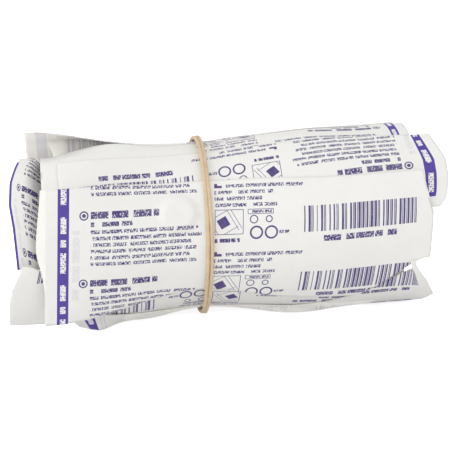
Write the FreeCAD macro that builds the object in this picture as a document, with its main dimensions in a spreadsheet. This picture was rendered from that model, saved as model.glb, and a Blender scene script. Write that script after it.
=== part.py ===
import FreeCAD
import Part
import Sketcher

import math
import os

# A banded bundle of ten sealed syringe packs, in millimetres.
# The bundle lies along X, the viewer stands on the -Y side, and +Z is up.
# Each pack is a flat web of paper and film with a formed pocket, and it is wrapped
# round the bundle with the paper outside and the pocket towards the middle.

doc = FreeCAD.newDocument("syringe_pack_bundle")
sheet = doc.addObject("Spreadsheet::Sheet", "Sizes")

# Driving sizes: the alias, its value and what it is.
SIZES = [
    ("web_length", 133.0, "length of one pack"),
    ("web_width", 47.0, "width of one pack"),
    ("web_thickness", 0.4, "paper and film together"),
    ("layer_gap", 0.2, "air between two webs that lie on each other"),
    ("skin_radius", 29.6, "middle of the web layers at the rubber band"),
    ("left_swell", 3.4, "growth of the skin radius at the left end"),
    ("right_swell", 3.0, "growth of the skin radius at the right end"),
    ("swell_reach", 46.0, "distance from the band in which the bundle swells"),
    ("ring_radius", 21.4, "circle on which the nine outer syringes lie"),
    ("barrel_diameter", 13.6, "syringe barrel"),
    ("tip_width", 7.0, "pocket over the tip and its cap"),
    ("rod_width", 11.0, "pocket over the plunger rod"),
    ("grip_width", 17.0, "pocket over the finger grip, at the web"),
    ("foot_spread", 1.0, "how much wider the pocket is where it leaves the web"),
    ("pocket_lip", 0.6, "depth of the pocket where it starts and stops"),
    ("seal_margin", 9.0, "flat seal at each end of a pack"),
    ("tip_length", 14.0, "pocket over the tip"),
    ("barrel_length", 66.0, "pocket over the barrel"),
    ("grip_length", 5.0, "pocket over the finger grip"),
    ("core_radius", 14.2, "web of the pack in the middle of the bundle"),
    ("core_flare", 14.6, "growth of that web at its open left end"),
    ("band_place", -11.0, "rubber band, along the bundle"),
    ("strand_width", 1.3, "one strand of the doubled rubber band"),
    ("strand_press", 0.85, "how far the strands keep apart, as a share of their width"),
    ("band_clearance", 0.12, "between the outermost web and the band"),
    ("flat_height", 31.4, "where the underside flattens on the table"),
    ("flat_share", 0.12, "how much of the round shape is left below that"),
]
for row, (alias, value, meaning) in enumerate(SIZES, start=1):
    sheet.set("A%d" % row, str(value))
    sheet.setAlias("A%d" % row, alias)
    sheet.set("B%d" % row, meaning)
doc.recompute()
size = {alias: float(getattr(sheet, alias)) for alias, value, meaning in SIZES}
LAYER = size["web_thickness"] + size["layer_gap"]

# The packs. angle: middle of the pocket, from the viewer's side upwards, in degrees.
# shift: along the bundle. layers: of the web's lower and upper edge, 0 in their middle.
# below, above: how far the web reaches beside its middle at the left end, in the middle
# and at the right end. A free edge has half the width, and a tucked one is folded in
# beside the next syringe, where nothing shows it. unbend: how far the lower and the upper
# side stand off the round at the left and right end. curl: where that starts, as a share
# of the length. skew: sideways run from end to end. tip: which way the syringe points.
FREE = (1.0, 1.0, 1.0)
TUCKED = (0.46, 0.46, 0.46)
BENT = (0, 0)
PACKS = {
    "front_pack": dict(
        angle=1.5, shift=1.5, layers=(1.4, 1.4), below=(1.0, 1.0, 0.3), above=FREE,
        unbend=((0.75, 0.1), (0.75, 0.3)), curl=(0.2, 0.29), skew=-2.0, tip="right"),
    "upper_pack": dict(
        angle=41, shift=7.5, layers=(0.2, 0.3), below=TUCKED, above=FREE,
        unbend=(BENT, (0, 0.15)), curl=(0.2, 0.3), skew=3.0, tip="left"),
    "top_pack": dict(
        angle=81, shift=1.7, layers=(-1.0, -1.0), below=(0.68, 0.46, 0.46), above=TUCKED,
        unbend=(BENT, BENT), curl=(0.3, 0.3), skew=0, tip="left"),
    "crest_pack": dict(
        angle=121, shift=-3.5, layers=(0.3, 1.3), below=(1.0, 0.5, 0.5), above=FREE,
        unbend=((0.75, 0), (0.3, 0.3)), curl=(0.22, 0.25), skew=0, tip="right"),
    "rear_upper_pack": dict(
        angle=160.5, shift=4.0, layers=(-1.0, 0.85), below=TUCKED, above=FREE,
        unbend=(BENT, (0.2, 0.4)), curl=(0.25, 0.2), skew=0, tip="left"),
    "rear_pack": dict(
        angle=199.5, shift=-5.0, layers=(-1.5, -1.5), below=TUCKED, above=TUCKED,
        unbend=(BENT, BENT), curl=(0.2, 0.2), skew=0, tip="right"),
    "rear_lower_pack": dict(
        angle=238, shift=2.5, layers=(-0.3, -1.2), below=FREE, above=TUCKED,
        unbend=((0.1, 0.3), BENT), curl=(0.3, 0.25), skew=0, tip="left"),
    "bottom_pack": dict(
        angle=278, shift=9.0, layers=(0.2, 0.2), below=FREE, above=(0.5, 0.5, 1.1),
        unbend=(BENT, (0, 0.3)), curl=(0.25, 0.05), skew=0, tip="right"),
    "lower_front_pack": dict(
        angle=319, shift=-8.0, layers=(-1.0, -1.0), below=(0.9, 0.46, 0.46), above=(0.8, 0.46, 0.46),
        unbend=(BENT, BENT), curl=(0.3, 0.25), skew=0, tip="left"),
}
CORE_PACK = dict(
    angle=42, shift=-9.5, layers=(0, 0), below=FREE, above=FREE,
    unbend=(BENT, BENT), curl=(0.2, 0.2), skew=0, tip="right")
ACROSS = (-0.5, -0.37, -0.24, -0.12, 0, 0.12, 0.24, 0.37, 0.5)


def smooth(t):
    """0 to 1 with level ends."""
    t = min(max(t, 0.0), 1.0)
    return t * t * (3 - 2 * t)


def near_end(pack, along):
    """0 in the middle of a pack and 1 at its ends."""
    start = pack["curl"][0] if along < 0 else pack["curl"][1]
    return smooth((abs(along) - start) / (0.5 - start))


def between(places, x):
    """Straight lines between (place, values) rows, where values is a tuple."""
    for (x0, v0), (x1, v1) in zip(places, places[1:]):
        if x <= x1:
            break
    share = (x - x0) / (x1 - x0)
    return tuple(a + (b - a) * share for a, b in zip(v0, v1))


def skin_profile():
    """The bundle is pulled in by the band and swells towards both ends."""
    rows = []
    for away in (-67, -50, -34, -20, -9, -3, 0, 3, 9, 20, 34, 50, 67, 87):
        swell = size["left_swell"] if away < 0 else size["right_swell"]
        radius = size["skin_radius"] + swell * smooth(abs(away) / size["swell_reach"])
        rows.append((size["band_place"] + away, (radius,)))
    return rows


def core_profile():
    """The middle pack is rolled to a tight tube that opens at its left end."""
    start = CORE_PACK["shift"] - size["web_length"] / 2
    rows = []
    for opening in (1, 0.75, 0.5, 0.25, 0):
        x = start + (1 - opening) * 2 * size["seal_margin"]
        rows.append((x, (size["core_radius"] + size["core_flare"] * smooth(opening),)))
    rows.append((start + size["web_length"], (size["core_radius"],)))
    return rows


def settled(z):
    """The soft underside is flattened where it lies on the table."""
    deep = -size["flat_height"] - z
    if deep > 0:
        z = -size["flat_height"] - deep * size["flat_share"]
    return z


def web_point(pack, profile, x, across, depth):
    """A point of the wrapped web: across runs from -0.5 to 0.5, and depth is inwards."""
    along = (x - pack["shift"]) / size["web_length"]
    end = near_end(pack, along)
    right = along > 0
    upper = across > 0
    reach = pack["above"] if upper else pack["below"]
    run = across * size["web_width"] * (reach[1] + (reach[2 * right] - reach[1]) * end)
    radius = between(profile, x)[0]
    bend = (1 - pack["unbend"][upper][right] * end) / radius
    middle = math.radians(pack["angle"]) + pack["skew"] * along / radius
    out = (-math.cos(middle), math.sin(middle))
    sideways = (math.sin(middle), math.cos(middle))
    turn = bend * run
    level = radius - (1 - math.cos(turn)) / bend
    aside = math.sin(turn) / bend
    y = level * out[0] + aside * sideways[0]
    z = settled(level * out[1] + aside * sideways[1])
    low, high = pack["layers"]
    rise = (low + (high - low) * (across + 0.5)) * LAYER - depth
    y += rise * (math.cos(turn) * out[0] + math.sin(turn) * sideways[0])
    z += rise * (math.cos(turn) * out[1] + math.sin(turn) * sideways[1])
    return FreeCAD.Vector(x, y, z)


def curve(points):
    spline = Part.BSplineCurve()
    spline.interpolate(points)
    return spline.toShape()


def stations(pack, profile):
    """The places where a web is cut across: its two ends and the bends of the profile."""
    first = pack["shift"] - size["web_length"] / 2
    last = pack["shift"] + size["web_length"] / 2
    inner = [x for x, radius in profile if first + 1 < x < last - 1]
    return [first] + inner + [last]


def web(pack, profile):
    """The web: straight strips between its sections, each an outer and an inner curve."""
    half = size["web_thickness"] / 2
    sections = []
    for x in stations(pack, profile):
        outer = [web_point(pack, profile, x, across, -half) for across in ACROSS]
        inner = [web_point(pack, profile, x, across, half) for across in ACROSS]
        sections.append(Part.Wire([
            curve(outer),
            Part.makeLine(outer[-1], inner[-1]),
            curve(inner[::-1]),
            Part.makeLine(inner[0], outer[0]),
        ]))
    return Part.makeLoft(sections, True, True)


def pocket_section(pack, profile, x, width, foot, depth):
    """A formed pocket cut across: widest where it leaves the web, and round at its bottom."""
    along = (x - pack["shift"]) / size["web_length"]
    middle = math.radians(pack["angle"])
    root = web_point(pack, profile, x, 0, 0)
    lean = pack["skew"] * along / between(profile, x)[0]
    out = (-math.cos(middle + lean), math.sin(middle + lean))
    sideways = (out[1], -out[0])
    top = root.y * out[0] + root.z * out[1]
    shoulder = math.sqrt(top * top - foot * foot / 4)

    def point(aside, outward):
        y = outward * out[0] + aside * sideways[0]
        z = outward * out[1] + aside * sideways[1]
        return FreeCAD.Vector(x, y, z)

    floor = Part.Arc(point(-width / 2, pack["axis"]), point(0, pack["axis"] - depth),
                     point(width / 2, pack["axis"])).toShape()
    roof = Part.Arc(point(foot / 2, shoulder), point(0, top), point(-foot / 2, shoulder)).toShape()
    return Part.Wire([
        Part.makeLine(point(-foot / 2, shoulder), point(-width / 2, pack["axis"])),
        floor,
        Part.makeLine(point(width / 2, pack["axis"]), point(foot / 2, shoulder)),
        roof,
    ])


def pocket(pack, profile):
    """The pocket over the syringe: tip, barrel, finger grip and plunger rod, end to end."""
    barrel = (size["barrel_diameter"], size["barrel_diameter"] + size["foot_spread"],
              size["barrel_diameter"] / 2)
    grip = (size["barrel_diameter"], size["grip_width"], size["barrel_diameter"] / 2)
    rod = (size["rod_width"], size["rod_width"] + size["foot_spread"], size["rod_width"] / 2)
    lip = (size["tip_width"], size["tip_width"] + size["foot_spread"], size["pocket_lip"])
    step = size["grip_length"]
    tip_stop = size["seal_margin"] + size["tip_length"]
    barrel_stop = tip_stop + size["barrel_length"]
    stop = size["web_length"] - size["seal_margin"]
    rows = [
        (size["seal_margin"], lip),
        (tip_stop, barrel),
        (barrel_stop - step, barrel),
        (barrel_stop, grip),
        (barrel_stop + step, grip),
        (barrel_stop + 2 * step, rod),
        (stop - step, rod),
        (stop, lip),
    ]
    first = pack["shift"] - size["web_length"] / 2
    if pack["tip"] == "left":
        rows = [(first + place, values) for place, values in rows]
    else:
        rows = [(first + size["web_length"] - place, values) for place, values in rows[::-1]]
    places = {x for x, values in rows}
    places |= {x for x, radius in profile if rows[0][0] < x < rows[-1][0]}
    sections = [pocket_section(pack, profile, x, *between(rows, x)) for x in sorted(places)]
    return Part.makeLoft(sections, True, True)


def add_pack(name, pack, profile):
    item = doc.addObject("Part::Feature", name)
    item.Label = name
    item.Shape = web(pack, profile).fuse(pocket(pack, profile)).removeSplitter()
    return item


parts = []
for name, pack in PACKS.items():
    pack["axis"] = size["ring_radius"]
    parts.append(add_pack(name, pack, skin_profile()))
CORE_PACK["axis"] = size["core_radius"] - size["web_thickness"] - size["barrel_diameter"] / 2
parts.append(add_pack("core_pack", CORE_PACK, core_profile()))


def tie(sketch, name, constraint, formula):
    """Adds a named size to a sketch and ties it to the sheet."""
    index = sketch.addConstraint(constraint)
    sketch.renameConstraint(index, name)
    sketch.setExpression("Constraints." + name, formula)


def rubber_band():
    """A thin rubber band laid round twice: two round strands that press against each other."""
    body = doc.addObject("PartDesign::Body", "rubber_band")
    body.Label = "rubber_band"
    plane = [f for f in body.Origin.OriginFeatures if f.Role == "XY_Plane"][0]
    section = body.newObject("Sketcher::SketchObject", "band_section")
    section.AttachmentSupport = [(plane, "")]
    section.MapMode = "FlatFace"

    # The band lies outside the outermost web, which is the front pack's.
    layers = max(PACKS["front_pack"]["layers"])
    radius = size["strand_width"] / 2
    outward = size["skin_radius"] + LAYER * layers + size["web_thickness"] / 2
    outward += size["band_clearance"] + radius
    outward_formula = (
        "Sizes.skin_radius + (Sizes.web_thickness + Sizes.layer_gap) * %s + Sizes.web_thickness / 2"
        " + Sizes.band_clearance + Sizes.strand_width / 2" % layers
    )
    open_turn = math.acos(size["strand_press"])
    sides = {
        "left": (-1, open_turn, 2 * math.pi - open_turn),
        "right": (1, math.pi + open_turn, 3 * math.pi - open_turn),
    }
    for index, (side, (way, start, stop)) in enumerate(sides.items()):
        along = size["band_place"] + way * radius * size["strand_press"]
        centre = FreeCAD.Vector(along, outward, 0)
        circle = Part.Circle(centre, FreeCAD.Vector(0, 0, 1), radius)
        section.addGeometry(Part.ArcOfCircle(circle, start, stop))
        tie(section, side + "_radius", Sketcher.Constraint("Radius", index, radius),
            "Sizes.strand_width / 2")
        tie(section, side + "_outward", Sketcher.Constraint("DistanceY", -1, 1, index, 3, outward),
            outward_formula)
        tie(section, side + "_along", Sketcher.Constraint("DistanceX", -1, 1, index, 3, along),
            "Sizes.band_place + %d * Sizes.strand_width / 2 * Sizes.strand_press" % way)
    section.addConstraint(Sketcher.Constraint("Coincident", 0, 1, 1, 2))
    section.addConstraint(Sketcher.Constraint("Coincident", 0, 2, 1, 1))

    ring = body.newObject("PartDesign::Revolution", "band_ring")
    ring.Profile = section
    ring.ReferenceAxis = (section, ["H_Axis"])
    ring.Angle = 360
    body.Tip = ring
    return body


parts.append(rubber_band())
doc.recompute()

# The origin is under the middle of the bundle, on the table.
whole = FreeCAD.BoundBox()
for item in parts:
    whole.add(item.Shape.optimalBoundingBox())
for item in parts:
    item.Placement = FreeCAD.Placement(
        FreeCAD.Vector(-whole.Center.x, -whole.Center.y, -whole.ZMin), FreeCAD.Rotation())
doc.recompute()

for item in doc.Objects:
    if {"Invalid", "Error"} & set(item.State):
        raise RuntimeError("failed: " + item.Label)
for item in parts:
    if item.Shape.isNull() or not item.Shape.isValid():
        raise RuntimeError("bad shape: " + item.Label)
os.makedirs("parts", exist_ok=True)
for item in parts:
    box = item.Shape.optimalBoundingBox()
    print("%-18s %d solid, %6.0f mm3, x %.1f to %.1f, y %.1f to %.1f, z %.1f to %.1f" % (
        item.Label, len(item.Shape.Solids), item.Shape.Volume,
        box.XMin, box.XMax, box.YMin, box.YMax, box.ZMin, box.ZMax))
    item.Shape.exportStep("parts/%s.step" % item.Label)
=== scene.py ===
import math

import bpy
from mathutils import Matrix, Vector, noise


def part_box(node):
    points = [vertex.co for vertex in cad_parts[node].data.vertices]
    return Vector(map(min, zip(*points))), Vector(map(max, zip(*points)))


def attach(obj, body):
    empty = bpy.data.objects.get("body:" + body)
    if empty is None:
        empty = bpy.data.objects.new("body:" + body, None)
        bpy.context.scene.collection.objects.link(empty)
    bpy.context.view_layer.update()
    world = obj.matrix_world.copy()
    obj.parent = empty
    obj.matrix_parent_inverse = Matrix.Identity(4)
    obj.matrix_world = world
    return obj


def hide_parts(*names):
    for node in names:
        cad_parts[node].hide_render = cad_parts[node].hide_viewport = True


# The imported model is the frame. The bundle lies along X and the viewer stands on the
# -Y side. The rubber band runs square round the bundle, so the middle of its box is
# on the bundle's own axis, and all places round the bundle are counted from there.
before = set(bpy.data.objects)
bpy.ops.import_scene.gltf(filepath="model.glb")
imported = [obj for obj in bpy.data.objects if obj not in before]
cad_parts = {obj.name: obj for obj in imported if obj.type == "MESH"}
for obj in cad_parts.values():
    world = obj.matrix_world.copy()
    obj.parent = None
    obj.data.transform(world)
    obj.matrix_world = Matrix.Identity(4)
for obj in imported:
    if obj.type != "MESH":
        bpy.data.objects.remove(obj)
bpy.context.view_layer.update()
MM = 0.001
FRONT_SHIFT = 1.5
band_low, band_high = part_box("rubber_band")
front_low, front_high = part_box("front_pack")
AXIS_Y = (band_low.y + band_high.y) / 2 / MM
AXIS_Z = (band_low.z + band_high.z) / 2 / MM
SHIFT_X = (front_low.x + front_high.x) / 2 / MM - FRONT_SHIFT

# Camera: a long lens half a metre away, a little to the left of the bundle's middle and
# above it, turned so that the right-hand side stands slightly higher.
VIEW_AZIMUTH = math.radians(-7)
VIEW_ELEVATION = math.radians(17)
VIEW_ROLL = math.radians(1.75)
VIEW_DISTANCE = 500
VIEW_LENS = 110.8
AIM_LEFT = 0.36
AIM_DOWN = 0.9
camera_data = bpy.data.cameras.new("camera")
camera_data.sensor_width = 36
camera_data.lens = VIEW_LENS
camera_data.clip_start = 0.05
camera_data.clip_end = 20
camera = bpy.data.objects.new("camera", camera_data)
bpy.context.scene.collection.objects.link(camera)
bpy.context.scene.camera = camera
back = Vector((
    math.sin(VIEW_AZIMUTH) * math.cos(VIEW_ELEVATION),
    -math.cos(VIEW_AZIMUTH) * math.cos(VIEW_ELEVATION),
    math.sin(VIEW_ELEVATION)))
level_right = Vector((0, 0, 1)).cross(back).normalized()
level_up = back.cross(level_right)
view_right = level_right * math.cos(VIEW_ROLL) - level_up * math.sin(VIEW_ROLL)
view_up = level_right * math.sin(VIEW_ROLL) + level_up * math.cos(VIEW_ROLL)
aim = Vector((SHIFT_X, AXIS_Y, AXIS_Z)) - view_right * AIM_LEFT - view_up * AIM_DOWN
view_rows = [
    (view_right[row], view_up[row], back[row], (aim[row] + back[row] * VIEW_DISTANCE) * MM)
    for row in range(3)]
camera.matrix_world = Matrix((*view_rows, (0, 0, 0, 1)))

# Studio: a white floor that runs on out of sight, a large soft lamp above on the left, a
# weaker one on the right, one that lights the left end, and an even white world.
WHITE = (1, 1, 1, 1)
SKY_LIGHT = 0.84
SKY_SEEN = 1.0


def math_node(tree, operation, first, second=None, third=None):
    """A Math node; each value is a number or an output to link. Gives its output."""
    node = tree.nodes.new("ShaderNodeMath")
    node.operation = operation
    for place, value in enumerate((first, second, third)):
        if value is None:
            continue
        if isinstance(value, (int, float)):
            node.inputs[place].default_value = value
        else:
            tree.links.new(value, node.inputs[place])
    return node.outputs[0]


def strongest(tree, values):
    """Where any of the masks is set."""
    total = values[0]
    for value in values[1:]:
        total = math_node(tree, "MAXIMUM", total, value)
    return total


def floor_material():
    """White to the camera and in reflections, with only a trace of the bundle's shadow."""
    material = bpy.data.materials.new("white_floor")
    material.use_nodes = True
    tree = material.node_tree
    tree.nodes.clear()
    matt = tree.nodes.new("ShaderNodeBsdfDiffuse")
    matt.inputs["Color"].default_value = (0.9, 0.9, 0.9, 1)
    glow = tree.nodes.new("ShaderNodeEmission")
    glow.inputs["Color"].default_value = WHITE
    glow.inputs["Strength"].default_value = 0.8
    path = tree.nodes.new("ShaderNodeLightPath")
    seen = strongest(tree, [
        path.outputs["Is Camera Ray"], path.outputs["Is Glossy Ray"], path.outputs["Is Transmission Ray"]])
    both = tree.nodes.new("ShaderNodeAddShader")
    choose = tree.nodes.new("ShaderNodeMixShader")
    out = tree.nodes.new("ShaderNodeOutputMaterial")
    tree.links.new(matt.outputs[0], both.inputs[0])
    tree.links.new(glow.outputs[0], both.inputs[1])
    tree.links.new(seen, choose.inputs["Fac"])
    tree.links.new(matt.outputs[0], choose.inputs[1])
    tree.links.new(both.outputs[0], choose.inputs[2])
    tree.links.new(choose.outputs[0], out.inputs["Surface"])
    return material


floor_mesh = bpy.data.meshes.new("floor")
floor_mesh.from_pydata([(-6, -6, 0), (6, -6, 0), (6, 6, 0), (-6, 6, 0)], [], [(0, 1, 2, 3)])
floor_mesh.materials.append(floor_material())
floor = bpy.data.objects.new("floor", floor_mesh)
bpy.context.scene.collection.objects.link(floor)
lit_place = Vector((0, 0, 0.03))
for lamp_name, lamp_place, width, watts in (
        ("lamp_left", (-0.4, -0.7, 0.8), 0.9, 1.6),
        ("lamp_right", (0.7, -0.6, 0.4), 0.8, 0.8),
        ("lamp_end", (-0.8, -0.25, 0.3), 0.6, 1.9)):
    lamp_data = bpy.data.lights.new(lamp_name, "AREA")
    lamp_data.size = width
    lamp_data.energy = watts
    lamp = bpy.data.objects.new(lamp_name, lamp_data)
    lamp.location = lamp_place
    lamp.rotation_mode = "QUATERNION"
    lamp.rotation_quaternion = (lit_place - Vector(lamp_place)).to_track_quat("-Z", "Y")
    bpy.context.scene.collection.objects.link(lamp)
world = bpy.data.worlds.new("studio")
bpy.context.scene.world = world
world.use_nodes = True
sky_tree = world.node_tree
sky = sky_tree.nodes["Background"]
sky.inputs["Color"].default_value = WHITE
sky_path = sky_tree.nodes.new("ShaderNodeLightPath")
sky_seen = strongest(sky_tree, [sky_path.outputs["Is Camera Ray"], sky_path.outputs["Is Glossy Ray"]])
sky_strength = sky_tree.nodes.new("ShaderNodeMapRange")
sky_strength.inputs["To Min"].default_value = SKY_LIGHT
sky_strength.inputs["To Max"].default_value = SKY_SEEN
sky_tree.links.new(sky_seen, sky_strength.inputs["Value"])
sky_tree.links.new(sky_strength.outputs["Result"], sky.inputs["Strength"])
bpy.context.scene.view_settings.view_transform = "Standard"

# The packs: each is a strip of white medical paper sealed to a clear film, with a
# formed pocket for the syringe. They are wrapped round the bundle with the paper
# outside, and pulled in by the rubber band. The sizes are those of the model, in
# millimetres, and the free corners and ends are shaped a little beyond it.
WEB_LENGTH = 133
WEB_WIDTH = 47
WEB_HALF = 0.18
LAYER = 0.6
SKIN_RADIUS = 29.6
LEFT_SWELL = 3.4
RIGHT_SWELL = 3.0
SWELL_REACH = 46
BAND_PLACE = -11
CORE_RADIUS = 14.2
CORE_FLARE = 14.6
FLARE_START = 5
FLARE_LENGTH = 17
FLAT_HEIGHT = 31.4
FLAT_SHARE = 0.12
WAIST_DEPTH = 0.3
WAIST_LENGTH = 24

# Each pack: the angle of its middle line round the bundle, upwards from the viewer's
# side; its middle along the bundle; the layers that its lower and its upper edge lie in;
# how far the web reaches below and above the middle line, at the left end, the middle
# and the right end, in half widths; how far its lower and its upper part straighten at
# the left and the right end; where the ends begin; how far the middle line climbs from
# end to end; and the end at which the syringe's tip lies.
FREE = (1.0, 1.0, 1.0)
TUCKED = (0.46, 0.46, 0.46)
BENT = (0, 0)
PACKS = {
    "front_pack": dict(
        angle=1.5, shift=FRONT_SHIFT, layers=(1.4, 1.4), below=(1.0, 1.0, 0.3), above=(0.97, 0.97, 1.0),
        unbend=((0.75, 0.1), (0.75, 0.3)), curl=(0.2, 0.29), skew=-2.0, tip="right"),
    "upper_pack": dict(
        angle=41, shift=7.5, layers=(0.2, 0.3), below=(0.46, 0.46, 0.62), above=(0.6, 0.72, 0.62),
        unbend=(BENT, (0, 0.15)), curl=(0.2, 0.3), skew=3.0, tip="left"),
    "top_pack": dict(
        angle=81, shift=1.7, layers=(-1.0, -1.0), below=(1.0, 0.46, 0.46), above=TUCKED,
        unbend=(BENT, BENT), curl=(0.3, 0.3), skew=0, tip="left"),
    "crest_pack": dict(
        angle=121, shift=-3.5, layers=(-0.3, 1.3), below=(1.0, 0.5, 0.5), above=FREE,
        unbend=((0.75, 0), (0.3, 0.3)), curl=(0.22, 0.25), skew=0, tip="right"),
    "rear_upper_pack": dict(
        angle=160.5, shift=4.0, layers=(-1.0, 0.85), below=TUCKED, above=FREE,
        unbend=(BENT, (0.2, 0.4)), curl=(0.25, 0.2), skew=0, tip="left"),
    "rear_pack": dict(
        angle=199.5, shift=-5.0, layers=(-1.5, -1.5), below=TUCKED, above=TUCKED,
        unbend=(BENT, BENT), curl=(0.2, 0.2), skew=0, tip="right"),
    "rear_lower_pack": dict(
        angle=238, shift=2.5, layers=(-0.3, -1.2), below=FREE, above=TUCKED,
        unbend=((0.1, 0.3), BENT), curl=(0.3, 0.25), skew=0, tip="left"),
    "bottom_pack": dict(
        angle=278, shift=9.0, layers=(0.2, -0.25), below=FREE, above=(1.0, 0.5, 1.66),
        unbend=(BENT, (0, 0.05)), curl=(0.25, 0.05), skew=0, tip="right"),
    "lower_front_pack": dict(
        angle=319, shift=-8.0, layers=(-1.0, -1.0), below=(0.3, 0.46, 0.46), above=(0.98, 0.46, 0.46),
        unbend=(BENT, BENT), curl=(0.3, 0.25), skew=0, tip="left"),
    "core_pack": dict(
        angle=38, shift=-9.5, layers=(0, 0), below=(0.94, 1.0, 1.0), above=FREE,
        unbend=(BENT, BENT), curl=(0.2, 0.2), skew=0, tip="right"),
}


def smooth(t):
    """0 to 1 with level ends."""
    t = min(max(t, 0.0), 1.0)
    return t * t * (3 - 2 * t)


def skin_radius(name, x):
    """How far the web lies from the bundle's axis, or the rolled middle pack's radius."""
    if name == "core_pack":
        left_end = PACKS[name]["shift"] - WEB_LENGTH / 2
        return CORE_RADIUS + CORE_FLARE * smooth(1 - (x - left_end - FLARE_START) / FLARE_LENGTH)
    away = x - BAND_PLACE
    swell = LEFT_SWELL if away < 0 else RIGHT_SWELL
    return SKIN_RADIUS + swell * smooth(abs(away) / SWELL_REACH)


def settled(z):
    """The soft underside is flattened where it lies on the table."""
    deep = -FLAT_HEIGHT - z
    if deep > 0:
        z = -FLAT_HEIGHT - deep * FLAT_SHARE
    return z


def near_end(name, x):
    """0 along the middle of a pack, rising to 1 at its ends."""
    pack = PACKS[name]
    along = (x - pack["shift"]) / WEB_LENGTH
    start = pack["curl"][0] if along < 0 else pack["curl"][1]
    return smooth((abs(along) - start) / (0.5 - start))


def web_edges(name, x):
    """How far the web reaches below and above its middle line, in millimetres."""
    pack = PACKS[name]
    end = near_end(name, x)
    right = x > pack["shift"]
    edges = []
    for reach in (pack["below"], pack["above"]):
        edges.append(WEB_WIDTH / 2 * (reach[1] + (reach[2 * right] - reach[1]) * end))
    if name == "front_pack":
        edges[0] *= 1 - WAIST_DEPTH * math.exp(-((x - BAND_PLACE) / WAIST_LENGTH) ** 2)
    return edges


def directions(name, x):
    """Outwards and sideways at a pack's middle line, as places in Y and Z."""
    pack = PACKS[name]
    along = (x - pack["shift"]) / WEB_LENGTH
    middle = math.radians(pack["angle"]) + pack["skew"] * along / skin_radius(name, x)
    return (-math.cos(middle), math.sin(middle)), (math.sin(middle), math.cos(middle))


def web_point(name, x, run, depth):
    """A point of the wrapped web: run goes upwards from its middle line, depth inwards."""
    pack = PACKS[name]
    right = x > pack["shift"]
    upper = run > 0
    across = run / (2 * web_edges(name, x)[upper])
    radius = skin_radius(name, x)
    bend = (1 - pack["unbend"][upper][right] * near_end(name, x)) / radius
    out, sideways = directions(name, x)
    turn = bend * run
    level = radius - (1 - math.cos(turn)) / bend
    aside = math.sin(turn) / bend
    low, high = pack["layers"]
    rise = (low + (high - low) * (across + 0.5)) * LAYER - depth
    y = level * out[0] + aside * sideways[0]
    z = settled(level * out[1] + aside * sideways[1])
    y += rise * (math.cos(turn) * out[0] + math.sin(turn) * sideways[0])
    z += rise * (math.cos(turn) * out[1] + math.sin(turn) * sideways[1])
    return y, z


# The pocket over the syringe, from the tip: place, half-width at the syringe's axis,
# half-width where it leaves the web, and depth below that axis.
BARREL_HALF = 6.8
SYRINGE_AXIS = 21.4
CORE_PLAY = 0.4
POCKET = (
    (9.0, 3.5, 4.0, 0.6), (23.0, BARREL_HALF, 7.3, BARREL_HALF), (84.0, BARREL_HALF, 7.3, BARREL_HALF),
    (89.0, BARREL_HALF, 8.5, BARREL_HALF), (94.0, BARREL_HALF, 8.5, BARREL_HALF),
    (99.0, 5.5, 6.0, 5.5), (119.0, 5.5, 6.0, 5.5), (124.0, 3.5, 4.0, 0.6))
SEAL_MARGIN = 9
TIP_SLOPE = 3.0
REAR_SLOPE = 2.0


def pocket_sizes(place):
    """The pocket's sizes at a place along the pack, and how far it stands out there."""
    rows = [(a, b) for a, b in zip(POCKET, POCKET[1:]) if place <= b[0]]
    first, last = rows[0] if rows else (POCKET[-2], POCKET[-1])
    share = min(max((place - first[0]) / (last[0] - first[0]), 0.0), 1.0)
    sizes = [a + (b - a) * share for a, b in zip(first[1:], last[1:])]
    formed = (smooth((place - SEAL_MARGIN) / TIP_SLOPE)
              * smooth((WEB_LENGTH - SEAL_MARGIN - place) / REAR_SLOPE))
    return sizes, formed


# What pulls the soft packs out of their plain form. First the ends, which are cut or
# pulled along the bundle: rows of place across the strip and shift.
END_SHIFTS = {
    ("front_pack", True): ((9, -0.8), (14, -2.5), (23.5, -4.5)),
    ("core_pack", False): ((-20, 1.4), (-8, 0.9), (0, 0), (9, 0.6), (23.5, 4.1)),
    ("lower_front_pack", False): ((-6, -4.5), (8, -3.6), (14, -2.2), (23, 1.8)),
    ("bottom_pack", True): ((0, -9), (18, -4), (28, -8), (38, -14)),
    ("bottom_pack", False): ((-10, 0), (0, 6), (9, 3), (23.5, -1)),
    ("upper_pack", True): (
        (-15, -4), (-12, -1.4), (-9, -0.3), (-3, 0.7), (3, 0.9), (9, -1), (14.6, -2.7)),
    ("top_pack", True): ((-12, -3.5), (10, -2.5))}
END_START = 0.38
FRONT_END_START = 0.44

# Where the bottom pack sags towards the viewer: place along, width along, angle, width
# in angle, and how far.
SAGS = ((-49, 8, -66, 13, 7.0), (-29, 10, -75, 9, 4.5), (20, 17, -75, 9, 6.0))

# The webs' soft waves, and folds along the bundle that are sharper near the band. The
# ripples fade towards the middle of the bundle and above the table.
WAVE_LENGTH = 26
WAVE_HEIGHT = 0.9
FOLD_LENGTH = 60
FOLD_HEIGHT = 0.25
PINCH_HEIGHT = 0.4
RIPPLE_RADIUS = 20
TABLE_FADE = 6

# The blunt bump of a syringe left of the band, and the top pack's dip at its left end.
KNOB_PLACE = -20.5
KNOB_LENGTH = 6
KNOB_ANGLE = 24
KNOB_WIDTH = 11
KNOB_HEIGHT = 1.5
DIP_DEPTH = 5.5
DIP_START = -36
DIP_ANGLE = 60
DIP_SLOPE = 28

# The front pack leans to the right towards its upper edge, and at its left end its film
# shows past the paper, most in the middle.
FRONT_LEAN = 1.7
FLAP_REACH = 3.1
FLAP_TAPER = 1.2
FLAP_LENGTH = 3


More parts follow.
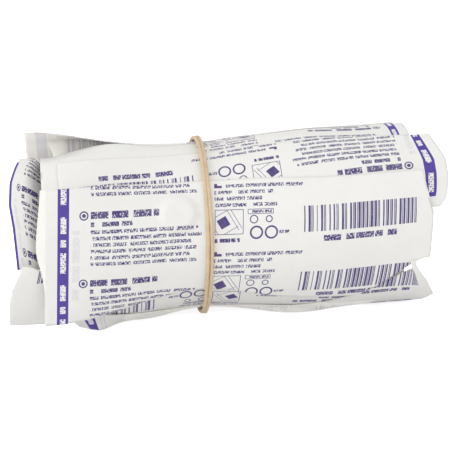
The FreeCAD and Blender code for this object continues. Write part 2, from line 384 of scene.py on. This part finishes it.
def end_shift(name, x, run):
    """How far a point near a pack's end is moved along the bundle."""
    along = (x - PACKS[name]["shift"]) / WEB_LENGTH
    rows = END_SHIFTS.get((name, along > 0))
    start = FRONT_END_START if name == "front_pack" else END_START
    weight = smooth((abs(along) - start) / (0.5 - start))
    if not rows or weight == 0:
        return 0
    if run <= rows[0][0]:
        return rows[0][1] * weight
    for (a, first), (b, last) in zip(rows, rows[1:]):
        if run <= b:
            return (first + (last - first) * (run - a) / (b - a)) * weight
    return rows[-1][1] * weight


def ripple(x, y, z):
    """How far the wrapped webs stand off the smooth form, the same for all layers."""
    away = abs(x - BAND_PLACE)
    angle = math.atan2(z, -y)
    place = Vector((x / WAVE_LENGTH, math.cos(angle) * 1.7, math.sin(angle) * 1.7))
    wave = noise.noise(place + Vector((3.1, 0, 0)))
    fold = noise.noise(Vector((x / FOLD_LENGTH, math.cos(angle) * 3.2, math.sin(angle) * 3.2)))
    calm = smooth((away - 1.5) / 14)
    pinch = smooth((away - 1.0) / 4) * (1 - smooth((away - 5) / 26))
    off = math.hypot((x - KNOB_PLACE) / KNOB_LENGTH, (math.degrees(angle) - KNOB_ANGLE) / KNOB_WIDTH)
    knob = KNOB_HEIGHT * smooth((1.2 - off) / 0.4)
    return calm * wave * WAVE_HEIGHT + calm * fold * FOLD_HEIGHT + pinch * fold * PINCH_HEIGHT + knob


def pulled(name, x, y, z):
    """A point of a pack with its ripples, sags and dip."""
    far = math.hypot(y, z)
    if name != "core_pack":
        push = ripple(x, y, z) * min(far / RIPPLE_RADIUS, 1.0)
        if z < -FLAT_HEIGHT + TABLE_FADE:
            push = push * smooth((z + FLAT_HEIGHT) / TABLE_FADE)
        y += push * y / far
        z += push * z / far
    angle = math.degrees(math.atan2(z, -y))
    if name == "bottom_pack":
        for there, wide, sag_angle, spread, reach in SAGS:
            y -= reach * math.exp(-((x - there) / wide) ** 2 - ((angle - sag_angle) / spread) ** 2)
    if name == "top_pack":
        dip = DIP_DEPTH * smooth((DIP_START - x) / DIP_SLOPE) * smooth((angle - DIP_ANGLE) / DIP_SLOPE)
        y -= dip * y / far
        z -= dip * z / far
    return y, z


def moved_along(name, x, run, is_film):
    """How far a point is moved along the bundle by the pull on its pack's ends."""
    lean = end_shift(name, x, run)
    if name == "front_pack":
        lean += FRONT_LEAN * run / (WEB_WIDTH / 2)
        if is_film:
            flap = FLAP_REACH * smooth((run + 12) / 16) - FLAP_TAPER * smooth((run - 4) / 20)
            left_end = FRONT_SHIFT - WEB_LENGTH / 2
            lean -= flap * max(1 - (x - left_end) / FLAP_LENGTH, 0)
    return lean


# The packs are cut from one long printed roll, and not at the same place: where a pack's
# print starts across the strip, how far it runs sideways from end to end, how much it
# bows, and how far it is moved along.
PRINT_START = {
    "front_pack": (-0.9, 8.0, -8.0, 0), "upper_pack": (14.9, -3.2, -4.4, 0),
    "top_pack": (17.5, 0, 0, 0), "crest_pack": (3.0, 0, 0, 0),
    "rear_upper_pack": (15.0, 1.5, 0, 0), "rear_pack": (9.0, 0, 0, 0),
    "rear_lower_pack": (19.0, -1.0, 0, 0), "bottom_pack": (2.0, 0, 0, 0),
    "lower_front_pack": (7.0, 0, 0, 0), "core_pack": (5.0, 60.0, 0, 7.0)}
CORE_PRINT_STEP = 4

# Parts of the packs that carry no print: from and to along the strip, and from and to
# across it, counted upwards from its middle line. They take a place between the rows.
BARE = {
    "top_pack": (84, 133, -24, 24), "lower_front_pack": (115, 133, -24, 9),
    "bottom_pack": (9, 56, -24, 24)}
BARE_PLACE = 22.9


def print_place(name, u, v, run):
    """Where a point of a pack lies on the printed roll, along and down."""
    start, slant, bow, further = PRINT_START[name]
    share = u / WEB_LENGTH
    if name == "core_pack":
        further += CORE_PRINT_STEP * smooth((u - 0.8) / 4)
    down = v - start - slant * share - bow * share ** 2
    if name in BARE:
        first_u, last_u, low_run, high_run = BARE[name]
        if first_u < u < last_u and low_run < run < high_run:
            down = BARE_PLACE
    return u + further, down


# The grid of a pack: paper on the outside and film on the inside, row by row along the
# strip. The film's columns also form the pocket, with its margins, walls and round bottom.
ROUND_STEPS = 12
WALL_STEPS = 4
MARGIN_STEPS = 14
LENGTH_STEPS = 152
COLUMNS = 2 * MARGIN_STEPS + 2 * WALL_STEPS + ROUND_STEPS + 1
WALL_GAP = 0.4
PAPER_FACE, FILM_FACE, EDGE_FACE = 0, 1, 2
FILM_FOLD_X = (-40, 50)
FILM_FOLD_RUN = (0, 15)


def cross_section(name, x, half, foot):
    """The columns at x: where the paper's lie, where the film's lie, and the place of each
    in the pocket (aside, share of the wall, share of the round bottom) or None."""
    low, high = web_edges(name, x)
    rows = [(-low + (low - foot) * j / MARGIN_STEPS, None) for j in range(MARGIN_STEPS)]
    for j in range(WALL_STEPS):
        rows.append((-foot, (-foot + (foot - half) * j / WALL_STEPS, j / WALL_STEPS, 0)))
    for j in range(ROUND_STEPS + 1):
        turn = math.pi * j / ROUND_STEPS
        rows.append((-foot * math.cos(turn), (-half * math.cos(turn), 1, math.sin(turn))))
    for j in range(WALL_STEPS - 1, -1, -1):
        rows.append((foot, (foot + (half - foot) * j / WALL_STEPS, j / WALL_STEPS, 0)))
    rows += [(foot + (high - foot) * j / MARGIN_STEPS, None) for j in range(1, MARGIN_STEPS + 1)]
    paper = [-low + (low + high) * j / (COLUMNS - 1) for j in range(COLUMNS)]
    # where the film is flat, the pocket's wall columns keep a small distance
    film = []
    for run, shape in rows:
        if shape and shape[1] < 1:
            run = math.copysign(foot - WALL_GAP * shape[1], run)
        elif shape:
            run = run * (foot - WALL_GAP) / foot
        film.append(run)
    return paper, film, [shape for _, shape in rows]


def pack_faces():
    """The faces of every pack's grid, and what each one is: paper, film or a cut edge."""

    def at(i, side, j):
        return (i * 2 + side) * COLUMNS + j

    faces = []
    kinds = []
    right = COLUMNS - 1
    for i in range(LENGTH_STEPS):
        for j in range(right):
            faces.append((at(i, 0, j), at(i, 0, j + 1), at(i + 1, 0, j + 1), at(i + 1, 0, j)))
            faces.append((at(i, 1, j), at(i + 1, 1, j), at(i + 1, 1, j + 1), at(i, 1, j + 1)))
            kinds += [PAPER_FACE, FILM_FACE]
        faces.append((at(i, 0, 0), at(i + 1, 0, 0), at(i + 1, 1, 0), at(i, 1, 0)))
        faces.append((at(i, 0, right), at(i, 1, right), at(i + 1, 1, right), at(i + 1, 0, right)))
        kinds += [EDGE_FACE, EDGE_FACE]
    last = LENGTH_STEPS
    for j in range(right):
        faces.append((at(0, 0, j), at(0, 1, j), at(0, 1, j + 1), at(0, 0, j + 1)))
        faces.append((at(last, 0, j), at(last, 0, j + 1), at(last, 1, j + 1), at(last, 1, j)))
        kinds += [EDGE_FACE, EDGE_FACE]
    return faces, kinds


FACES, KINDS = pack_faces()


def pack_points(name):
    """The points of a pack's grid, their places on the strip and on the printed roll."""
    pack = PACKS[name]
    left_end = pack["shift"] - WEB_LENGTH / 2
    axis = CORE_RADIUS - CORE_PLAY - BARREL_HALF if name == "core_pack" else SYRINGE_AXIS
    points = []
    strip_places = []
    print_places = []
    for i in range(LENGTH_STEPS + 1):
        x = left_end + WEB_LENGTH * i / LENGTH_STEPS
        from_tip = x - left_end if pack["tip"] == "left" else WEB_LENGTH - (x - left_end)
        (half, foot, deep), formed = pocket_sizes(from_tip)
        paper, film, shapes = cross_section(name, x, half, foot)
        out, sideways = directions(name, x)
        root = web_point(name, x, 0.0, WEB_HALF)
        top = root[0] * out[0] + root[1] * out[1]
        shoulder = math.sqrt(top * top - foot * foot)
        for side, runs in enumerate((paper, film)):
            for run, shape in zip(runs, shapes):
                y, z = web_point(name, x, run, WEB_HALF if side else -WEB_HALF)
                if side and shape and formed > 0:
                    aside, wall, bottom = shape
                    level = shoulder + (axis - shoulder) * wall - deep * bottom
                    y += (level * out[0] + aside * sideways[0] - y) * formed
                    z += (level * out[1] + aside * sideways[1] - z) * formed
                y, z = pulled(name, x, y, z)
                lean = moved_along(name, x, run, side)
                points.append(((x + lean + SHIFT_X) * MM, (y + AXIS_Y) * MM, (z + AXIS_Z) * MM))
                u = x - left_end
                v = WEB_WIDTH / 2 - run
                if pack["tip"] == "left":
                    u = WEB_LENGTH - u
                    v = WEB_WIDTH - v
                strip_places.append((u / WEB_LENGTH, v / WEB_LENGTH + side * 0.5))
                across, down = print_place(name, u, v, run)
                print_places.append((across / WEB_LENGTH, down / WEB_LENGTH))
    return points, strip_places, print_places


def shows_film(name, face):
    """A fold of film shows below the front of the bottom pack, on its paper side."""
    if name != "bottom_pack":
        return False
    x = PACKS[name]["shift"] - WEB_LENGTH / 2 + WEB_LENGTH * (face[0] // (2 * COLUMNS)) / LENGTH_STEPS
    low, high = web_edges(name, x)
    run = -low + (low + high) * (face[0] % COLUMNS) / (COLUMNS - 1)
    return FILM_FOLD_X[0] < x < FILM_FOLD_X[1] and FILM_FOLD_RUN[0] < run < FILM_FOLD_RUN[1]


def pack_mesh(name):
    """One pack's strip as a closed mesh: material 0 is its paper and 1 its film."""
    points, strip_places, print_places = pack_points(name)
    mesh = bpy.data.meshes.new(name + "_strip")
    mesh.from_pydata(points, [], FACES)
    mesh.polygons.foreach_set("use_smooth", [kind != EDGE_FACE for kind in KINDS])
    mesh.polygons.foreach_set("material_index", [
        int(kind != PAPER_FACE or shows_film(name, face)) for face, kind in zip(FACES, KINDS)])
    strip_layer = mesh.uv_layers.new(name="strip")
    print_layer = mesh.uv_layers.new(name="print")
    for corner, loop in enumerate(mesh.loops):
        strip_layer.data[corner].uv = strip_places[loop.vertex_index]
        print_layer.data[corner].uv = print_places[loop.vertex_index]
    mesh.update()
    return mesh


# The print itself, as masks in shader groups: fields, rings, dashes and bars that are
# placed in millimetres along and down the strip. It repeats every 23 mm down the strip,
# and nothing in it can be read.
PRINT_REPEAT = 23.0
ROW_PITCH = 2.16
LONE_PITCH = 9.0


def new_group(name, inputs, outputs):
    """A shader node group with number sockets: names with defaults, and names."""
    group = bpy.data.node_groups.new(name, "ShaderNodeTree")
    for label, value in inputs.items():
        socket = group.interface.new_socket(name=label, in_out="INPUT", socket_type="NodeSocketFloat")
        socket.default_value = value
    for label in outputs:
        group.interface.new_socket(name=label, in_out="OUTPUT", socket_type="NodeSocketFloat")
    into = group.nodes.new("NodeGroupInput")
    out = group.nodes.new("NodeGroupOutput")
    return group, into.outputs, out.inputs


def product(tree, *values):
    """All masks multiplied."""
    total = values[0]
    for value in values[1:]:
        total = math_node(tree, "MULTIPLY", total, value)
    return total


FIELD_INPUTS = {"Across": 0.0, "Down": 0.0, "Left": 0.0, "Right": 1.0, "Top": 0.0, "Bottom": 1.0}


def inside_field(group, pin):
    """The mask of a rectangle, from the inputs that FIELD_INPUTS names."""
    return product(
        group,
        math_node(group, "GREATER_THAN", pin["Across"], pin["Left"]),
        math_node(group, "LESS_THAN", pin["Across"], pin["Right"]),
        math_node(group, "GREATER_THAN", pin["Down"], pin["Top"]),
        math_node(group, "LESS_THAN", pin["Down"], pin["Bottom"]))


def field_group():
    """1 inside a rectangle of the print, 0 outside."""
    group, pin, out = new_group("print_field", FIELD_INPUTS, ["Mask"])
    group.links.new(inside_field(group, pin), out["Mask"])
    return group


def ring_group():
    """A printed ring: 1 on its line."""
    group, pin, out = new_group("print_ring", {
        "Across": 0.0, "Down": 0.0, "Middle Across": 0.0, "Middle Down": 0.0, "Radius": 1.0,
        "Line": 0.3}, ["Mask"])
    side = math_node(group, "SUBTRACT", pin["Across"], pin["Middle Across"])
    drop = math_node(group, "SUBTRACT", pin["Down"], pin["Middle Down"])
    far = math_node(group, "SQRT", math_node(
        group, "ADD", product(group, side, side), product(group, drop, drop)))
    off = math_node(group, "ABSOLUTE", math_node(group, "SUBTRACT", far, pin["Radius"]))
    mask = math_node(group, "LESS_THAN", off, math_node(group, "MULTIPLY", pin["Line"], 0.5))
    group.links.new(mask, out["Mask"])
    return group


def dash_group():
    """Rows of short dashes that stand for small print. Each row ends at its own place, and
    each dash is broken up by fine spots, so that it reads as print and says nothing."""
    group, pin, out = new_group("print_dashes", {
        "Across": 0.0, "Down": 0.0, "Left": 0.0, "Right": 10.0, "Ragged": 3.0, "Top": 0.0,
        "Pitch": ROW_PITCH, "Rows": 1.0, "Height": 1.2, "Word": 6.0, "Seed": 0.0, "Fill": 0.5},
        ["Mask"])
    drop = math_node(group, "DIVIDE", math_node(group, "SUBTRACT", pin["Down"], pin["Top"]), pin["Pitch"])
    row = math_node(group, "FLOOR", drop)
    inside = math_node(group, "MULTIPLY", math_node(group, "SUBTRACT", drop, row), pin["Pitch"])
    in_height = math_node(group, "LESS_THAN", inside, pin["Height"])
    in_rows = product(
        group, math_node(group, "GREATER_THAN", drop, 0.0), math_node(group, "LESS_THAN", drop, pin["Rows"]))
    chance = group.nodes.new("ShaderNodeTexWhiteNoise")
    chance.noise_dimensions = "1D"
    group.links.new(math_node(group, "ADD", row, pin["Seed"]), chance.inputs["W"])
    stop = math_node(group, "SUBTRACT", pin["Right"], math_node(
        group, "MULTIPLY", chance.outputs["Value"], pin["Ragged"]))
    in_length = product(
        group, math_node(group, "GREATER_THAN", pin["Across"], pin["Left"]),
        math_node(group, "LESS_THAN", pin["Across"], stop))
    run = math_node(group, "SUBTRACT", pin["Across"], pin["Left"])
    shifted = math_node(group, "MULTIPLY_ADD", chance.outputs["Value"], 37.0, run)
    uneven = group.nodes.new("ShaderNodeTexNoise")
    uneven.noise_dimensions = "1D"
    uneven.inputs["Scale"].default_value = 0.23
    uneven.inputs["Detail"].default_value = 0
    group.links.new(shifted, uneven.inputs["W"])
    words = math_node(group, "DIVIDE", math_node(
        group, "MULTIPLY_ADD", uneven.outputs["Fac"], 5.0, shifted), pin["Word"])
    gap = math_node(group, "GREATER_THAN", math_node(group, "FRACT", words), 0.14)
    spots = group.nodes.new("ShaderNodeTexNoise")
    spots.noise_dimensions = "2D"
    spots.inputs["Scale"].default_value = 1.0
    spots.inputs["Detail"].default_value = 1
    place = group.nodes.new("ShaderNodeCombineXYZ")
    group.links.new(math_node(group, "MULTIPLY", pin["Across"], 2.6), place.inputs["X"])
    group.links.new(math_node(group, "MULTIPLY_ADD", row, 7.3, math_node(
        group, "MULTIPLY", inside, 1.5)), place.inputs["Y"])
    group.links.new(place.outputs["Vector"], spots.inputs["Vector"])
    broken = math_node(group, "GREATER_THAN", spots.outputs["Fac"], math_node(
        group, "SUBTRACT", 0.93, pin["Fill"]))
    group.links.new(product(group, in_height, in_rows, in_length, gap, broken), out["Mask"])
    return group


def bars_group():
    """Upright bars of uneven width, in two sizes. They follow no code."""
    group, pin, out = new_group("print_bars", FIELD_INPUTS, ["Mask"])
    beat = math_node(group, "DIVIDE", pin["Across"], 1.43)
    chance = group.nodes.new("ShaderNodeTexWhiteNoise")
    chance.noise_dimensions = "1D"
    group.links.new(math_node(group, "FLOOR", beat), chance.inputs["W"])
    part = math_node(group, "FRACT", beat)
    wide = math_node(group, "LESS_THAN", part, math_node(
        group, "MULTIPLY_ADD", chance.outputs["Value"], 0.42, 0.16))
    thin = product(
        group, math_node(group, "GREATER_THAN", part, 0.7), math_node(group, "LESS_THAN", part, 0.88),
        math_node(group, "GREATER_THAN", chance.outputs["Value"], 0.35))
    bars = math_node(group, "MAXIMUM", wide, thin)
    group.links.new(product(group, inside_field(group, pin), bars), out["Mask"])
    return group


def use(tree, group, across, down, **values):
    """Places a print group and gives its mask. Underscores stand for spaces in the names."""
    node = tree.nodes.new("ShaderNodeGroup")
    node.node_tree = group
    tree.links.new(across, node.inputs["Across"])
    tree.links.new(down, node.inputs["Down"])
    for name, value in values.items():
        node.inputs[name.replace("_", " ")].default_value = value
    return node.outputs["Mask"]


def pack_print_group():
    """The print of one pack. Across and Down count from the strip's upper left."""
    group, pin, out = new_group(
        "pack_print", {"Across": 0.0, "Down": 0.0}, ["Ink", "Stripe", "Stripe Marks", "Stamp"])
    across = pin["Across"]
    down = pin["Down"]
    first = math_node(group, "FLOORED_MODULO", math_node(group, "SUBTRACT", down, 8.5), PRINT_REPEAT)
    second = math_node(group, "FLOORED_MODULO", math_node(group, "SUBTRACT", down, 1.0), PRINT_REPEAT)
    field = field_group()
    ring = ring_group()
    dashes = dash_group()
    bars = bars_group()

    def block(across_here, down_here, left, right, top, bottom):
        return use(group, field, across_here, down_here, Left=left, Right=right, Top=top, Bottom=bottom)

    def lone_row(across_here, down_here, left, right, top, height, word, seed, fill):
        return use(group, dashes, across_here, down_here, Left=left, Right=right, Ragged=0.0, Top=top,
                   Pitch=LONE_PITCH, Rows=0.5, Height=height, Word=word, Seed=seed, Fill=fill)

    # rings: the ringed dot of the left column, and four small rings of the middle one
    ink = [
        use(group, ring, across, down_here, Middle_Across=middle, Middle_Down=level, Radius=radius, Line=line)
        for down_here, middle, level, radius, line in (
            (first, 12.7, 1.7, 1.3, 0.45), (first, 12.7, 1.7, 0.3, 0.7),
            (second, 70.3, 12.6, 1.25, 0.35), (second, 75.4, 12.6, 1.0, 0.35),
            (second, 71.2, 17.0, 1.95, 0.6), (second, 76.2, 17.0, 1.95, 0.6))]
    # rows that stand alone: two in the left column, four in the middle one and one
    # below the bars
    ink += [lone_row(across, *row) for row in (
        (first, 15.0, 38.0, 0.5, 2.3, 7.5, 3.0, 0.56), (first, 15.0, 29.0, 3.9, 1.5, 8.0, 5.0, 0.52),
        (second, 60.5, 87.0, 0.6, 1.2, 7.0, 21.0, 0.47), (second, 57.0, 65.6, 18.8, 1.3, 3.4, 31.0, 0.62),
        (second, 78.9, 82.2, 16.4, 1.1, 3.4, 33.0, 0.5), (second, 68.9, 76.3, 9.6, 0.9, 5.0, 47.0, 0.5),
        (second, 94.0, 120.2, 18.8, 2.0, 5.2, 41.0, 0.54))]
    # six small rows on the left, three in the middle, an angled mark and the bars
    ink += [
        use(group, dashes, across, first, Left=15.0, Right=53.0, Ragged=4.5, Top=6.5, Pitch=ROW_PITCH,
            Rows=6.0, Height=1.2, Word=6.4, Seed=11.0, Fill=0.47),
        use(group, dashes, across, second, Left=57.0, Right=81.0, Ragged=10.0, Top=2.8, Pitch=ROW_PITCH,
            Rows=3.0, Height=1.2, Word=6.0, Seed=24.0, Fill=0.47),
        block(across, second, 57.0, 59.6, 0.9, 1.8),
        block(across, second, 57.0, 58.0, 0.2, 1.8),
        use(group, bars, across, second, Left=86.7, Right=126.2, Top=8.8, Bottom=17.4)]
    # frames: an outer field less an inner one
    for left, right, top, bottom, line in ((57.0, 66.8, 9.2, 17.5, 0.22), (68.2, 76.9, 9.2, 10.9, 0.2)):
        outer = block(across, second, left, right, top, bottom)
        inner = block(across, second, left + line, right - line, top + line, bottom - line)
        ink.append(math_node(group, "SUBTRACT", outer, inner))
    # the first frame holds a slanted block and thin slanted lines
    slant = math_node(group, "MULTIPLY_ADD", second, -0.62, across)
    rise = math_node(group, "MULTIPLY_ADD", across, 0.55, second)
    picture = [block(slant, rise, 49.6, 53.6, 44.6, 48.4)]
    picture += [block(slant, rise, place, place + 0.2, 41.5, 52.0) for place in (45.6, 47.3, 55.2, 56.6)]
    picture += [block(slant, rise, 48.0, 56.0, place, place + 0.2) for place in (43.0, 50.4)]
    framed = block(across, second, 57.2, 66.6, 9.4, 17.3)
    ink.append(product(group, framed, strongest(group, picture)))
    group.links.new(strongest(group, ink), out["Ink"])
    # the stripe, with two white marks that run up it in each repeat
    stripe = block(across, down, 4.0, 7.8, -2.0, 60.0)
    group.links.new(stripe, out["Stripe"])
    upwards = math_node(group, "ADD", math_node(group, "MULTIPLY", first, -1.0), PRINT_REPEAT)
    marks = strongest(group, [
        lone_row(upwards, across, 2.0, 9.0, 5.0, 1.9, 20.0, 52.0, 0.53),
        lone_row(upwards, across, 11.0, 21.0, 5.0, 1.9, 20.0, 55.0, 0.53)])
    group.links.new(product(group, stripe, marks), out["Stripe Marks"])
    stamp = lone_row(down, across, 15.0, 39.0, 9.0, 2.4, 8.0, 63.0, 0.5)
    group.links.new(stamp, out["Stamp"])
    return group


# The two materials of a pack. Its paper is matt white with a faint fibre, printed in
# violet. Its film is milky, with fine draw lines and a soft gloss, and the print shows
# through it.
PAPER_COLOUR = (0.835, 0.83, 0.805, 1)
PAPER_CLOUD = (0.79, 0.78, 0.75, 1)
INK_COLOUR = (0.055, 0.032, 0.17, 1)
STRIPE_COLOUR = (0.095, 0.06, 0.32, 1)
FILM_COLOUR = (0.85, 0.83, 0.775, 1)
FILM_CLOUD = (0.875, 0.86, 0.82, 1)
STAMP_STRENGTH = 0.13
GHOST_INK = 0.3
GHOST_STRIPE = 0.24
PRINT_GROUP = pack_print_group()


def new_material(name, roughness):
    """A new material, its node tree, its shader and its place in the object's space."""
    material = bpy.data.materials.new(name)
    material.use_nodes = True
    tree = material.node_tree
    skin = tree.nodes["Principled BSDF"]
    skin.inputs["Roughness"].default_value = roughness
    where = tree.nodes.new("ShaderNodeTexCoord")
    return material, tree, skin, where.outputs["Object"]


def mix_colour(tree, factor, first, second):
    """A colour mix; colours are tuples or outputs to link."""
    node = tree.nodes.new("ShaderNodeMix")
    node.data_type = "RGBA"
    tree.links.new(factor, node.inputs[0])
    for place, value in ((6, first), (7, second)):
        if isinstance(value, tuple):
            node.inputs[place].default_value = value
        else:
            tree.links.new(value, node.inputs[place])
    return node.outputs[2]


def noise_value(tree, where, scale, detail):
    """A noise texture's value at a place."""
    node = tree.nodes.new("ShaderNodeTexNoise")
    node.inputs["Scale"].default_value = scale
    node.inputs["Detail"].default_value = detail
    tree.links.new(where, node.inputs["Vector"])
    return node.outputs["Fac"]


def add_bump(tree, skin, height, strength, distance):
    """Fine relief on a shader's surface."""
    bump = tree.nodes.new("ShaderNodeBump")
    bump.inputs["Strength"].default_value = strength
    bump.inputs["Distance"].default_value = distance
    tree.links.new(height, bump.inputs["Height"])
    tree.links.new(bump.outputs["Normal"], skin.inputs["Normal"])


def print_masks(tree):
    """The print's masks at a place of the strip, by name."""
    spot = tree.nodes.new("ShaderNodeUVMap")
    spot.uv_map = "print"
    apart = tree.nodes.new("ShaderNodeSeparateXYZ")
    tree.links.new(spot.outputs["UV"], apart.inputs["Vector"])
    node = tree.nodes.new("ShaderNodeGroup")
    node.node_tree = PRINT_GROUP
    for axis, socket in (("X", "Across"), ("Y", "Down")):
        tree.links.new(
            math_node(tree, "MULTIPLY", apart.outputs[axis], float(WEB_LENGTH)), node.inputs[socket])
    return node.outputs


def paper_material():
    """Matt white medical paper with a faint fibre, printed in violet."""
    material, tree, skin, where = new_material("pack_paper", 0.72)
    masks = print_masks(tree)
    cloud = noise_value(tree, where, 190, 4)
    bare = mix_colour(tree, cloud, PAPER_COLOUR, PAPER_CLOUD)
    striped = mix_colour(tree, masks["Stripe"], bare, STRIPE_COLOUR)
    marked = mix_colour(tree, masks["Stripe Marks"], striped, PAPER_COLOUR)
    stamp = math_node(tree, "MULTIPLY", masks["Stamp"], STAMP_STRENGTH)
    stamped = mix_colour(tree, stamp, marked, STRIPE_COLOUR)
    strength = math_node(tree, "MULTIPLY", masks["Ink"], math_node(tree, "MULTIPLY_ADD", cloud, 0.2, 0.85))
    printed = mix_colour(tree, strength, stamped, INK_COLOUR)
    tree.links.new(printed, skin.inputs["Base Color"])
    skin.inputs["Specular IOR Level"].default_value = 0.3
    add_bump(tree, skin, noise_value(tree, where, 1500, 3), 0.12, 0.0002)
    return material


def film_material():
    """The film side: a milky, yellowish plastic film with the print faintly behind it."""
    material, tree, skin, where = new_material("pack_film", 0.32)
    stretch = tree.nodes.new("ShaderNodeMapping")
    stretch.inputs["Scale"].default_value = (40, 420, 420)
    tree.links.new(where, stretch.inputs["Vector"])
    lines = noise_value(tree, stretch.outputs["Vector"], 1, 3)
    tone = mix_colour(tree, lines, FILM_COLOUR, FILM_CLOUD)
    masks = print_masks(tree)
    ghost = strongest(tree, [
        math_node(tree, "MULTIPLY", masks["Ink"], GHOST_INK),
        math_node(tree, "MULTIPLY", masks["Stripe"], GHOST_STRIPE)])
    tree.links.new(mix_colour(tree, ghost, tone, STRIPE_COLOUR), skin.inputs["Base Color"])
    skin.inputs["Specular IOR Level"].default_value = 0.5
    add_bump(tree, skin, lines, 0.2, 0.0005)
    return material


PAPER = paper_material()
FILM = film_material()
for pack_name in PACKS:
    strip = bpy.data.objects.new(pack_name + "_strip", pack_mesh(pack_name))
    bpy.context.scene.collection.objects.link(strip)
    strip.data.materials.append(PAPER)
    strip.data.materials.append(FILM)
    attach(strip, "root")
    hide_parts(pack_name)

# The rubber band: one thin tan band laid round twice, so that two strands lie side by
# side and cross over slightly at the top and below. It has a dull, dusty surface.
STRAND_RADIUS = 0.72
STRAND_STEPS = 160
STRAND_SIDES = 14
STRAND_APART = 0.7
BAND_OFFSET = 1.3
BAND_TILT = 0.7
RUBBER_DARK = (0.50, 0.36, 0.21, 1)
RUBBER_PALE = (0.74, 0.61, 0.43, 1)


def strand_mesh(name, side):
    """One strand: a slightly flattened tube round the bundle that wanders a little."""
    ring = (band_high.z - band_low.z) / 2 / MM - STRAND_RADIUS
    verts = []
    for i in range(STRAND_STEPS):
        turn = 2 * math.pi * i / STRAND_STEPS
        wander = 0.35 * math.sin(turn * 2 + 0.6) + 0.15 * math.sin(turn * 5 + 1.0)
        apart = STRAND_APART * side * (0.85 + 0.15 * math.cos(turn * 3 + 0.4))
        middle = (band_low.x + band_high.x) / 2 / MM
        x = middle + apart + wander * 0.5 + BAND_OFFSET + BAND_TILT * math.sin(turn)
        over = 0.08 * side * math.sin(turn * 4)
        for j in range(STRAND_SIDES):
            round_turn = 2 * math.pi * j / STRAND_SIDES
            thick = STRAND_RADIUS * (1 + 0.06 * math.sin(turn * 23 + side) * math.cos(round_turn))
            radius = ring + over + thick * math.sin(round_turn) * 0.95
            verts.append((
                (x + thick * math.cos(round_turn) * 0.92) * MM,
                (AXIS_Y - radius * math.cos(turn)) * MM,
                (AXIS_Z + radius * math.sin(turn)) * MM))
    faces = []
    for i in range(STRAND_STEPS):
        here = i * STRAND_SIDES
        there = (i + 1) % STRAND_STEPS * STRAND_SIDES
        for j in range(STRAND_SIDES):
            onward = (j + 1) % STRAND_SIDES
            faces.append((here + j, there + j, there + onward, here + onward))
    mesh = bpy.data.meshes.new(name)
    mesh.from_pydata(verts, [], faces)
    mesh.polygons.foreach_set("use_smooth", [True] * len(faces))
    mesh.update()
    return mesh


def rubber_material():
    """Tan natural rubber, matt, with darker and paler patches and a faint grain."""
    material, tree, skin, where = new_material("band_rubber", 0.62)
    patches = noise_value(tree, where, 420, 4)
    tree.links.new(mix_colour(tree, patches, RUBBER_DARK, RUBBER_PALE), skin.inputs["Base Color"])
    add_bump(tree, skin, patches, 0.35, 0.0003)
    return material


RUBBER = rubber_material()
for strand_name, strand_side in (("band_strand_left", -1), ("band_strand_right", 1)):
    strand = bpy.data.objects.new(strand_name, strand_mesh(strand_name, strand_side))
    strand.data.materials.append(RUBBER)
    bpy.context.scene.collection.objects.link(strand)
    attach(strand, "root")
    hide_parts("rubber_band")
